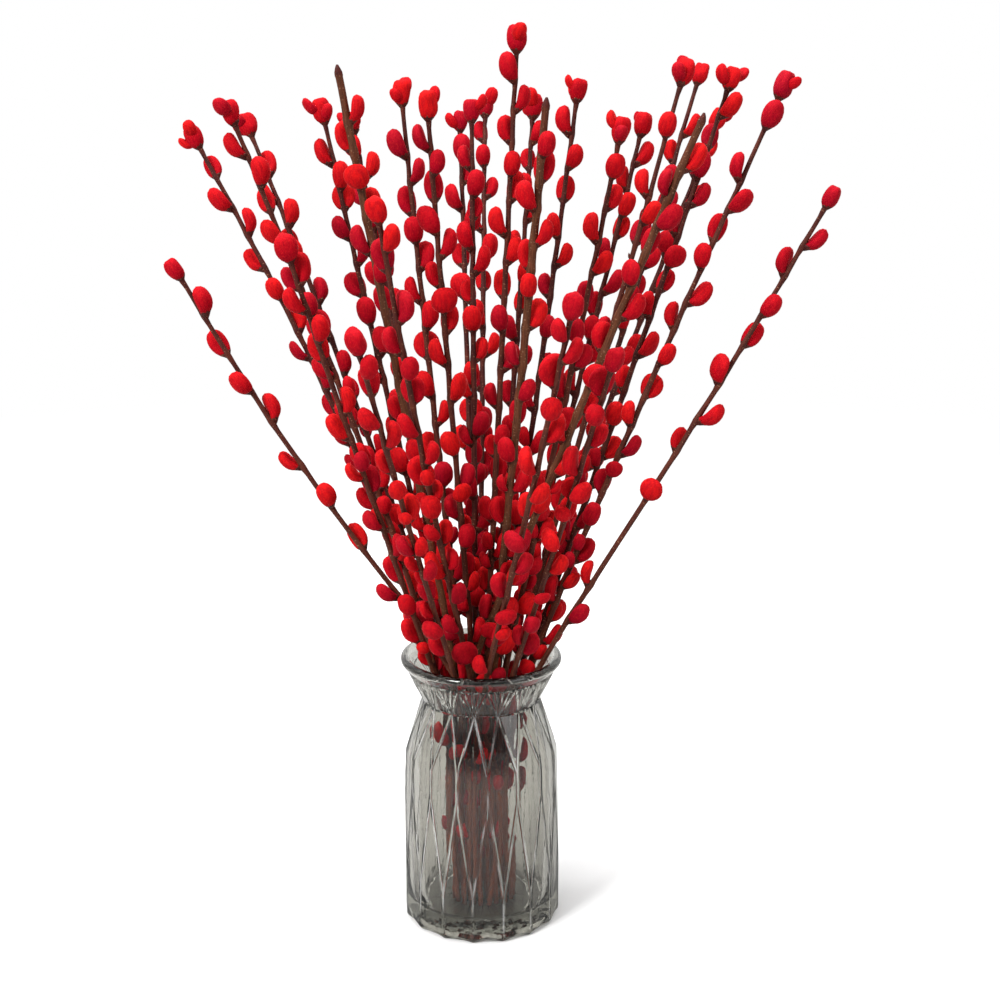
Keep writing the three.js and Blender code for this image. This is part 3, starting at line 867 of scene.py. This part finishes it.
loop = rim_loop(glass)
for radius, z in LIP + INSIDE:
    made = bmesh.ops.extrude_edge_only(glass, edges=loop)["geom"]
    loop = [g for g in made if isinstance(g, bmesh.types.BMEdge) and len(g.link_faces) == 1]
    for v in {v for e in loop for v in e.verts}:
        flat = Vector((v.co.x, v.co.y)).normalized() * radius
        v.co = (flat.x, flat.y, z)
floor_face = bmesh.ops.contextual_create(glass, geom=loop)["faces"]
bmesh.ops.inset_region(glass, faces=floor_face, thickness=0.03)
bmesh.ops.recalc_face_normals(glass, faces=glass.faces)
under = [max(glass.faces, key=lambda f: f.calc_area() * (f.calc_center_median().z < 0.004))]
bmesh.ops.inset_region(glass, faces=under, thickness=0.007)
bmesh.ops.inset_region(glass, faces=under, thickness=0.004, depth=-0.002)
rib = glass.verts.layers.float.new("rib")
for v in {v for f in ribs if f.is_valid and f.calc_center_median().z < 0.162 for v in f.verts}:
    v[rib] = 1.0
print("vase wall closed:", all(len(e.link_faces) == 2 for e in glass.edges))

# %% [markdown]
# ## Smoked glass
# Grey glass takes more light the thicker it is, so the thin walls look pale and the thick floor dark. A
# grey surface colour alone would be the same everywhere, so part of the grey comes from absorption inside
# the wall. Pressed glass is never quite flat, and a faint bump keeps its reflections alive. Along the
# ridges the glass is painted whiter and less clear in broken patches, a painted highlight that stands for the
# light the ridges catch, so they show as broken light lines; the attribute "rib" is 1 there and 0 elsewhere.

# %% Glass finish
smoked, tree, shader, add = finish_of("smoked_glass")
spot = add("TexCoord").outputs["Object"]
ripples = add("TexNoise", {"Vector": spot, "Scale": 55.0, "Detail": 2.0}).outputs[0]
seeds = add("TexNoise", {"Vector": spot, "Scale": 400.0, "Detail": 1.0}).outputs[0]
swirl = add("Math", {0: seeds, 1: 0.15, 2: ripples}, operation="MULTIPLY_ADD").outputs[0]
bump = add("Bump", {"Strength": 0.25, "Distance": 0.0012, "Height": swirl}).outputs[0]
tree.links.new(bump, shader.inputs["Normal"])
# painted highlight: the ridges are painted whiter and less clear in broken patches, standing for the light they
# catch
marked = add("Attribute", attribute_name="rib").outputs["Fac"]
ridge = add("MapRange", {"Value": marked, "From Min": 0.6}).outputs[0]
blotches = add("TexNoise", {"Vector": spot, "Scale": 38.0, "Detail": 1.0}).outputs[0]
uneven = add("MapRange", {"Value": blotches, "From Min": 0.44, "From Max": 0.6}).outputs[0]
painted_rib_highlight = add("Math", {0: ridge, 1: uneven}, operation="MULTIPLY").outputs[0]
tree.links.new(mixed(add, painted_rib_highlight, (0.73, 0.72, 0.68, 1), (1, 1, 1, 1)), shader.inputs["Base Color"])
tree.links.new(add("MapRange", {"Value": painted_rib_highlight, "To Min": 1.0, "To Max": 0.74}).outputs[0],
               shader.inputs["Transmission Weight"])
shader.inputs["Roughness"].default_value = 0.015
shader.inputs["IOR"].default_value = 1.5
grey = add("VolumeAbsorption", {"Color": (0.46, 0.46, 0.40, 1), "Density": 20.0})
tree.links.new(grey.outputs[0], tree.nodes["Material Output"].inputs["Volume"])
vase = finish_piece(glass, "vase_glass", smoked, "vase")
rounded = bmesh.new()
rounded.from_mesh(vase.data)
for edge in rounded.edges:
    gentle = edge.calc_face_angle(0) < math.radians(14)
    on_lip = max(v.co.z for v in edge.verts) > 0.192
    edge.smooth = level_below(edge, 0.16) or gentle or on_lip
rounded.to_mesh(vase.data)
rounded.free()
print("vase:", len(vase.data.polygons), "faces")

# %% [markdown]
# ## Floor, light and camera
# A pale floor, a white surround, and three large soft lamps: one to the upper left in front, a weaker one
# to the right, and one above. The surround is darker at the sides than behind, because glass only shows its
# edges when it has something dark to bend into them. It is darker in front too, which is what the leaning
# shoulder of the vase mirrors, and it gives the catkins a shaded side. Far from the vase the floor glows as
# brightly as the surround, so the two meet without a line. The lens sees the floor and the surround as
# plain white, while the light that bounces off them is weaker, so the shaded sides stay deep.

# %% Floor
ground = bmesh.new()
bmesh.ops.create_circle(ground, segments=64, radius=9.0, cap_ends=True)
pale, tree, shader, add = finish_of("pale_floor")
speck = add("TexNoise", {"Vector": add("TexCoord").outputs["Object"], "Scale": 6.0, "Detail": 3.0}).outputs[0]
paint = ramp(add, speck, (0.3, (0.90, 0.90, 0.90, 1)), (0.7, (0.93, 0.93, 0.93, 1)))
distance = add("VectorMath", {0: add("TexCoord").outputs["Object"]}, operation="LENGTH").outputs["Value"]
seen = add("LightPath").outputs["Is Camera Ray"]
near = mixed(add, seen, mixed(add, 1.0, paint, (0.54, 0.54, 0.53, 1), "MULTIPLY"), paint)
far = add("MapRange", {"Value": distance, "From Min": 0.5, "From Max": 2.0}).outputs[0]
glow = add("MapRange", {"Value": seen, "To Min": 0.6, "To Max": 1.0}).outputs[0]
tree.links.new(mixed(add, far, near, (0, 0, 0, 1)), shader.inputs["Base Color"])
shine = add("Math", {0: far, 1: glow}, operation="MULTIPLY").outputs[0]
tree.links.new(shine, shader.inputs["Emission Strength"])
shader.inputs["Emission Color"].default_value = (1, 1, 1, 1)
shader.inputs["Roughness"].default_value = 1.0
shader.inputs["Specular IOR Level"].default_value = 0.0
floor_mesh = mesh_of(ground, "floor")
floor_mesh.materials.append(pale)
floor = bpy.data.objects.new("floor", floor_mesh)
bpy.context.scene.collection.objects.link(floor)
print("floor", [round(v, 1) for v in floor.dimensions])

# %% Surround and lamps
world = bpy.data.worlds.new("studio")
bpy.context.scene.world = world
world.use_nodes = True
sky = world.node_tree
at = sky.nodes.new("ShaderNodeTexCoord")
apart = sky.nodes.new("ShaderNodeSeparateXYZ")
side = sky.nodes.new("ShaderNodeMath")
side.operation = "ABSOLUTE"
fade = sky.nodes.new("ShaderNodeMapRange")
for name, value in (("From Min", 0.7), ("From Max", 0.97), ("To Min", 1.0), ("To Max", 0.33)):
    fade.inputs[name].default_value = value
seen = sky.nodes.new("ShaderNodeLightPath")
front = sky.nodes.new("ShaderNodeMapRange")
for name, value in (("From Min", -0.4), ("From Max", -0.75), ("To Min", 1.0), ("To Max", 0.14)):
    front.inputs[name].default_value = value
raised = sky.nodes.new("ShaderNodeMath")
raised.operation = "MULTIPLY_ADD"
raised.inputs[1].default_value = 0.8
both = sky.nodes.new("ShaderNodeMath")
both.operation = "MULTIPLY"
choose = sky.nodes.new("ShaderNodeMix")
choose.inputs["B"].default_value = 1.0
background = sky.nodes["Background"]
sky.links.new(at.outputs["Generated"], apart.inputs[0])
sky.links.new(apart.outputs["X"], side.inputs[0])
sky.links.new(side.outputs[0], fade.inputs["Value"])
sky.links.new(seen.outputs["Is Camera Ray"], choose.inputs["Factor"])
sky.links.new(apart.outputs["Z"], raised.inputs[0])
sky.links.new(apart.outputs["Y"], raised.inputs[2])
sky.links.new(raised.outputs[0], front.inputs["Value"])
sky.links.new(fade.outputs[0], both.inputs[0])
sky.links.new(front.outputs[0], both.inputs[1])
sky.links.new(both.outputs[0], choose.inputs["A"])
sky.links.new(choose.outputs[0], background.inputs["Strength"])
background.inputs["Color"].default_value = (1, 1, 1, 1)


def add_lamp(name, place, target, size, power):
    lamp = bpy.data.lights.new(name, "AREA")
    lamp.shape, lamp.size, lamp.energy = "DISK", size, power
    holder = bpy.data.objects.new(name, lamp)
    holder.location = place
    holder.rotation_euler = (Vector(target) - Vector(place)).to_track_quat("-Z", "Y").to_euler()
    bpy.context.scene.collection.objects.link(holder)


add_lamp("key", (-1.3, -1.5, 1.6), (0, 0, 0.4), 0.7, 48)
add_lamp("fill", (1.6, -1.2, 0.9), (0, 0, 0.35), 1.0, 6)
add_lamp("top", (-0.1, 0.1, 2.0), (0, 0, 0.3), 0.6, 24)

# %% Camera
TILT = 14.61
lens = bpy.data.cameras.new("camera")
lens.lens, lens.sensor_width = 61.2, 36
camera = bpy.data.objects.new("camera", lens)
camera.location = (0.0136, -1.16, 0.618)
camera.rotation_euler = (math.radians(90 - TILT), 0, 0)
bpy.context.scene.collection.objects.link(camera)
bpy.context.scene.camera = camera
bpy.context.scene.view_settings.view_transform = "Standard"
print("camera looks down by", TILT, "degrees")
